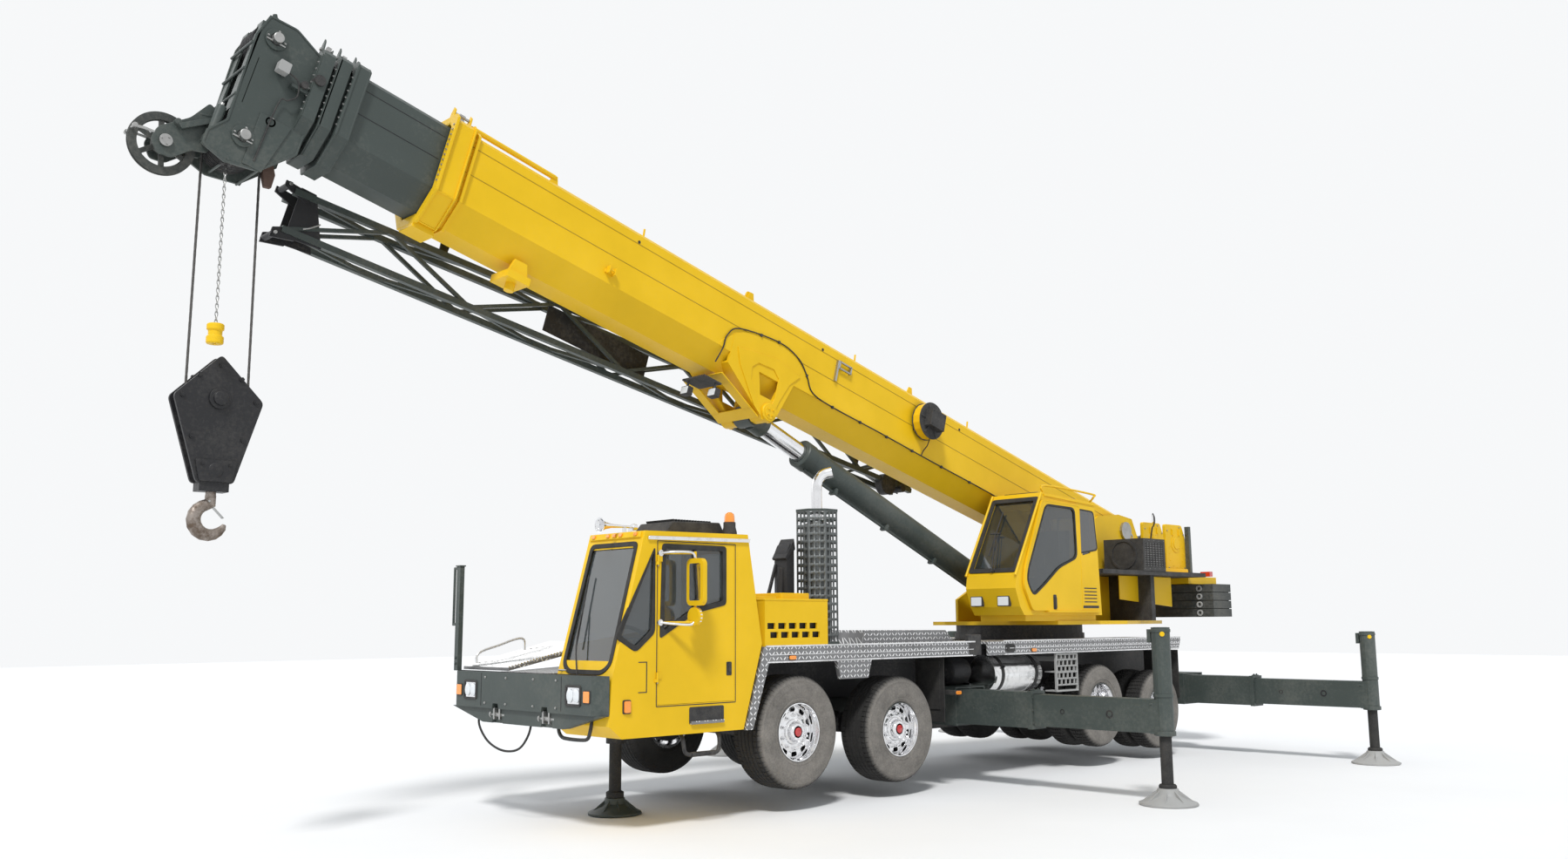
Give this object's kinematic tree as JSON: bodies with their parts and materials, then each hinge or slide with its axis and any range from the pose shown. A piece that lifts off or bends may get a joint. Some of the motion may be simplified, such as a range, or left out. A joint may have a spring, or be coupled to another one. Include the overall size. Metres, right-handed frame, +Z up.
{
  "type": "mobile crane",
  "caption": "Telescopic truck crane on its outriggers: half-cab carrier, slewing cab and counterweight, part-raised boom with stowed lattice extension, hook block hanging from the head.",
  "frame": {"origin": "on the ground under the middle of the whole crane, halfway between the counterweight and the tip of the boom nose", "axes": "+X forward, towards the bumper and the boom head; +Y to the driver's left; +Z up, so the front jack pad faces -Z"},
  "size_m": [16.0091, 7.908, 7.1176],
  "materials": {
    "bare_steel": "bare worn steel",
    "boom_grey": "light grey paint on the inner boom sections",
    "cab_glass": "clear toughened glass",
    "cast_iron_grey": "cast iron engine mass",
    "crane_yellow": "warm yellow gloss enamel, dusty and a little chalked",
    "dark_grey_paint": "dark grey-green paint, semi-matte",
    "float_silver": "silver paint, scuffed",
    "rod_chrome": "hard-chromed rod",
    "rope_steel": "greased steel rope",
    "seat_vinyl": "black vinyl",
    "tank_polished": "polished aluminium tank",
    "tyre_rubber": "black rubber tyres with grey dust, chromed wheels",
    "underframe_black": "black chassis paint, satin, dusty"
  },
  "bodies": {
    "carrier": {"axles": "underframe_black", "outrigger_housings": "crane_yellow", "chassis_frame": "underframe_black", "deck_plates": "crane_yellow", "front_bumper": "crane_yellow", "engine": "cast_iron_grey", "engine_hood": "crane_yellow", "exhaust_stack": "tank_polished", "tanks": "tank_polished", "carrier_cab": "crane_yellow", "carrier_cab_interior": "seat_vinyl", "carrier_cab_glass": "cab_glass", "slew_ring": "underframe_black"},
    "wheel_1_left": {"wheel_1_left": "tyre_rubber"},
    "knuckle_1_left": {"knuckle_1_left": "underframe_black"},
    "wheel_1_right": {"wheel_1_right": "tyre_rubber"},
    "knuckle_1_right": {"knuckle_1_right": "underframe_black"},
    "wheel_2_left": {"wheel_2_left": "tyre_rubber"},
    "knuckle_2_left": {"knuckle_2_left": "underframe_black"},
    "wheel_2_right": {"wheel_2_right": "tyre_rubber"},
    "knuckle_2_right": {"knuckle_2_right": "underframe_black"},
    "wheel_3_left": {"wheel_3_left": "tyre_rubber"},
    "wheel_3_right": {"wheel_3_right": "tyre_rubber"},
    "wheel_4_left": {"wheel_4_left": "tyre_rubber"},
    "wheel_4_right": {"wheel_4_right": "tyre_rubber"},
    "front_left_beam": {"outrigger_front_left_beam": "crane_yellow"},
    "front_left_tip": {"outrigger_front_left_tip": "crane_yellow"},
    "front_left_jack": {"outrigger_front_left_jack": "float_silver"},
    "front_right_beam": {"outrigger_front_right_beam": "crane_yellow"},
    "front_right_tip": {"outrigger_front_right_tip": "crane_yellow"},
    "front_right_jack": {"outrigger_front_right_jack": "float_silver"},
    "rear_left_beam": {"outrigger_rear_left_beam": "crane_yellow"},
    "rear_left_tip": {"outrigger_rear_left_tip": "crane_yellow"},
    "rear_left_jack": {"outrigger_rear_left_jack": "float_silver"},
    "rear_right_beam": {"outrigger_rear_right_beam": "crane_yellow"},
    "rear_right_tip": {"outrigger_rear_right_tip": "crane_yellow"},
    "rear_right_jack": {"outrigger_rear_right_jack": "float_silver"},
    "front_jack": {"front_jack": "float_silver"},
    "carrier_door": {"carrier_door": "crane_yellow"},
    "turntable": {"turntable": "crane_yellow", "counterweight": "dark_grey_paint", "winches": "dark_grey_paint", "oil_cooler": "dark_grey_paint", "crane_cab": "crane_yellow", "crane_cab_glass": "cab_glass", "crane_seat": "seat_vinyl"},
    "crane_door": {"crane_door": "crane_yellow"},
    "boom_pin": {"boom_pivot_pin": "bare_steel"},
    "boom": {"boom_base": "crane_yellow", "boom_extension": "dark_grey_paint"},
    "section_2": {"boom_section_2": "boom_grey"},
    "section_3": {"boom_section_3": "crane_yellow"},
    "head": {"boom_head": "crane_yellow", "head_sheaves": "dark_grey_paint"},
    "falls": {"hoist_falls": "rope_steel"},
    "hook_block": {"hook_block": "dark_grey_paint"},
    "hook": {"hook": "bare_steel"},
    "lift_foot": {"lift_foot_pin": "bare_steel"},
    "lift_barrel": {"lift_barrel": "crane_yellow"},
    "lift_rod": {"lift_rod": "rod_chrome"}
  },
  "joints": [
    {"name": "steer_1_left", "type": "hinge", "parent": "carrier", "child": "knuckle_1_left", "pos_m": [1.65942, 0.77, 0.792], "axis": [0, 0, 1], "range_deg": [-32, 32]},
    {"name": "roll_1_left", "type": "hinge", "parent": "knuckle_1_left", "child": "wheel_1_left", "pos_m": [1.65942, 0, 0.792], "axis": [0, 1, 0], "continuous": true},
    {"name": "steer_1_right", "type": "hinge", "parent": "carrier", "child": "knuckle_1_right", "pos_m": [1.65942, -0.77, 0.792], "axis": [0, 0, 1], "range_deg": [-32, 32]},
    {"name": "roll_1_right", "type": "hinge", "parent": "knuckle_1_right", "child": "wheel_1_right", "pos_m": [1.65942, 0, 0.792], "axis": [0, 1, 0], "continuous": true},
    {"name": "steer_2_left", "type": "hinge", "parent": "carrier", "child": "knuckle_2_left", "pos_m": [0.08742, 0.77, 0.729], "axis": [0, 0, 1], "range_deg": [-23.2, 23.2]},
    {"name": "roll_2_left", "type": "hinge", "parent": "knuckle_2_left", "child": "wheel_2_left", "pos_m": [0.08742, 0, 0.729], "axis": [0, 1, 0], "continuous": true},
    {"name": "steer_2_right", "type": "hinge", "parent": "carrier", "child": "knuckle_2_right", "pos_m": [0.08742, -0.77, 0.729], "axis": [0, 0, 1], "range_deg": [-23.2, 23.2]},
    {"name": "roll_2_right", "type": "hinge", "parent": "knuckle_2_right", "child": "wheel_2_right", "pos_m": [0.08742, 0, 0.729], "axis": [0, 1, 0], "continuous": true},
    {"name": "roll_3_left", "type": "hinge", "parent": "carrier", "child": "wheel_3_left", "pos_m": [-3.96258, 0, 0.794], "axis": [0, 1, 0], "continuous": true},
    {"name": "roll_3_right", "type": "hinge", "parent": "carrier", "child": "wheel_3_right", "pos_m": [-3.96258, 0, 0.794], "axis": [0, 1, 0], "continuous": true},
    {"name": "roll_4_left", "type": "hinge", "parent": "carrier", "child": "wheel_4_left", "pos_m": [-5.42558, 0, 0.674], "axis": [0, 1, 0], "continuous": true},
    {"name": "roll_4_right", "type": "hinge", "parent": "carrier", "child": "wheel_4_right", "pos_m": [-5.42558, 0, 0.674], "axis": [0, 1, 0], "continuous": true},
    {"name": "front_left_beam_slide", "type": "slide", "parent": "carrier", "child": "front_left_beam", "axis": [0, 1, 0], "range_m": [-1.01, 0]},
    {"name": "front_left_tip_slide", "type": "slide", "parent": "front_left_beam", "child": "front_left_tip", "axis": [0, 1, 0], "range_m": [-1.47, 0]},
    {"name": "front_left_jack_slide", "type": "slide", "parent": "front_left_tip", "child": "front_left_jack", "axis": [0, 0, 1], "range_m": [0, 0.48]},
    {"name": "front_right_beam_slide", "type": "slide", "parent": "carrier", "child": "front_right_beam", "axis": [0, -1, 0], "range_m": [-1.01, 0]},
    {"name": "front_right_tip_slide", "type": "slide", "parent": "front_right_beam", "child": "front_right_tip", "axis": [0, -1, 0], "range_m": [-1.47, 0]},
    {"name": "front_right_jack_slide", "type": "slide", "parent": "front_right_tip", "child": "front_right_jack", "axis": [0, 0, 1], "range_m": [0, 0.48]},
    {"name": "rear_left_beam_slide", "type": "slide", "parent": "carrier", "child": "rear_left_beam", "axis": [0, 1, 0], "range_m": [-1.01, 0]},
    {"name": "rear_left_tip_slide", "type": "slide", "parent": "rear_left_beam", "child": "rear_left_tip", "axis": [0, 1, 0], "range_m": [-1.47, 0]},
    {"name": "rear_left_jack_slide", "type": "slide", "parent": "rear_left_tip", "child": "rear_left_jack", "axis": [0, 0, 1], "range_m": [0, 0.48]},
    {"name": "rear_right_beam_slide", "type": "slide", "parent": "carrier", "child": "rear_right_beam", "axis": [0, -1, 0], "range_m": [-1.01, 0]},
    {"name": "rear_right_tip_slide", "type": "slide", "parent": "rear_right_beam", "child": "rear_right_tip", "axis": [0, -1, 0], "range_m": [-1.47, 0]},
    {"name": "rear_right_jack_slide", "type": "slide", "parent": "rear_right_tip", "child": "rear_right_jack", "axis": [0, 0, 1], "range_m": [0, 0.48]},
    {"name": "front_jack_slide", "type": "slide", "parent": "carrier", "child": "front_jack", "axis": [0, 0, 1], "range_m": [0, 0.35]},
    {"name": "carrier_door_hinge", "type": "hinge", "parent": "carrier", "child": "carrier_door", "pos_m": [3.54642, 1.306, 1.36], "axis": [0, 0, -1], "range_deg": [0, 70]},
    {"name": "slew", "type": "hinge", "parent": "carrier", "child": "turntable", "pos_m": [-3.90558, 0, 1.85], "axis": [0, 0, 1], "continuous": true},
    {"name": "crane_door_slide", "type": "slide", "parent": "turntable", "child": "crane_door", "axis": [-1, 0, 0], "range_m": [0, 0.75]},
    {"name": "boom_lower", "type": "hinge", "parent": "turntable", "child": "boom_pin", "pos_m": [-6.10558, 0, 3.24], "axis": [0, -1, 0], "range_deg": [-18.36, 0]},
    {"name": "boom_luff", "type": "hinge", "parent": "boom_pin", "child": "boom", "pos_m": [-6.10558, 0, 3.24], "axis": [0, -1, 0], "range_deg": [0, 62.64]},
    {"name": "section_2_slide", "type": "slide", "parent": "boom", "child": "section_2", "axis": [0.9643, 0, 0.2649], "range_m": [-0.85, 8]},
    {"name": "section_3_slide", "type": "slide", "parent": "section_2", "child": "section_3", "axis": [0.9643, 0, 0.2649], "range_m": [0, 8]},
    {"name": "head_slide", "type": "slide", "parent": "section_3", "child": "head", "axis": [0.9643, 0, 0.2649], "range_m": [0, 8]},
    {"name": "hook_swing", "type": "hinge", "parent": "head", "child": "falls", "pos_m": [7.17478, 0, 5.97025], "axis": [0, 1, 0], "range_deg": [-18.36, 62.64]},
    {"name": "hook_hoist", "type": "slide", "parent": "falls", "child": "hook_block", "axis": [0, 0, 1], "range_m": [-2.55, 1.5], "deforming": ["hoist_falls"]},
    {"name": "hook_swivel", "type": "hinge", "parent": "hook_block", "child": "hook", "pos_m": [7.17478, 0, 3.04], "axis": [0, 0, 1], "continuous": true},
    {"name": "lift_foot_swing", "type": "hinge", "parent": "turntable", "child": "lift_foot", "pos_m": [-3.80558, 0, 2.11], "axis": [0, -1, 0], "range_deg": [-25.63, 0.05]},
    {"name": "lift_swing", "type": "hinge", "parent": "lift_foot", "child": "lift_barrel", "pos_m": [-3.80558, 0, 2.11], "axis": [0, -1, 0], "range_deg": [-0.05, 65.77]},
    {"name": "lift_rod_slide", "type": "slide", "parent": "lift_barrel", "child": "lift_rod", "axis": [0.9198, 0, 0.3925], "range_m": [0, 2.6411]}
  ],
  "couplings": [
    {"joint": "steer_1_right", "follows": "steer_1_left", "ratio": 1},
    {"joint": "steer_2_left", "follows": "steer_1_left", "ratio": 0.72},
    {"joint": "steer_2_right", "follows": "steer_1_left", "ratio": 0.72},
    {"joint": "front_left_tip_slide", "follows": "front_left_beam_slide", "ratio": 1.4554},
    {"joint": "front_right_tip_slide", "follows": "front_right_beam_slide", "ratio": 1.4554},
    {"joint": "rear_left_tip_slide", "follows": "rear_left_beam_slide", "ratio": 1.4554},
    {"joint": "rear_right_tip_slide", "follows": "rear_right_beam_slide", "ratio": 1.4554},
    {"joint": "head_slide", "follows": "section_3_slide", "ratio": 1},
    {"joint": "lift_foot_swing", "follows": "boom_lower", "ratio": 1.3932},
    {"joint": "lift_swing", "follows": "boom_luff", "ratio": 1.0492},
    {"joint": "lift_rod_slide", "follows": "boom_luff", "m_per_rad": 2.4148}
  ]
}
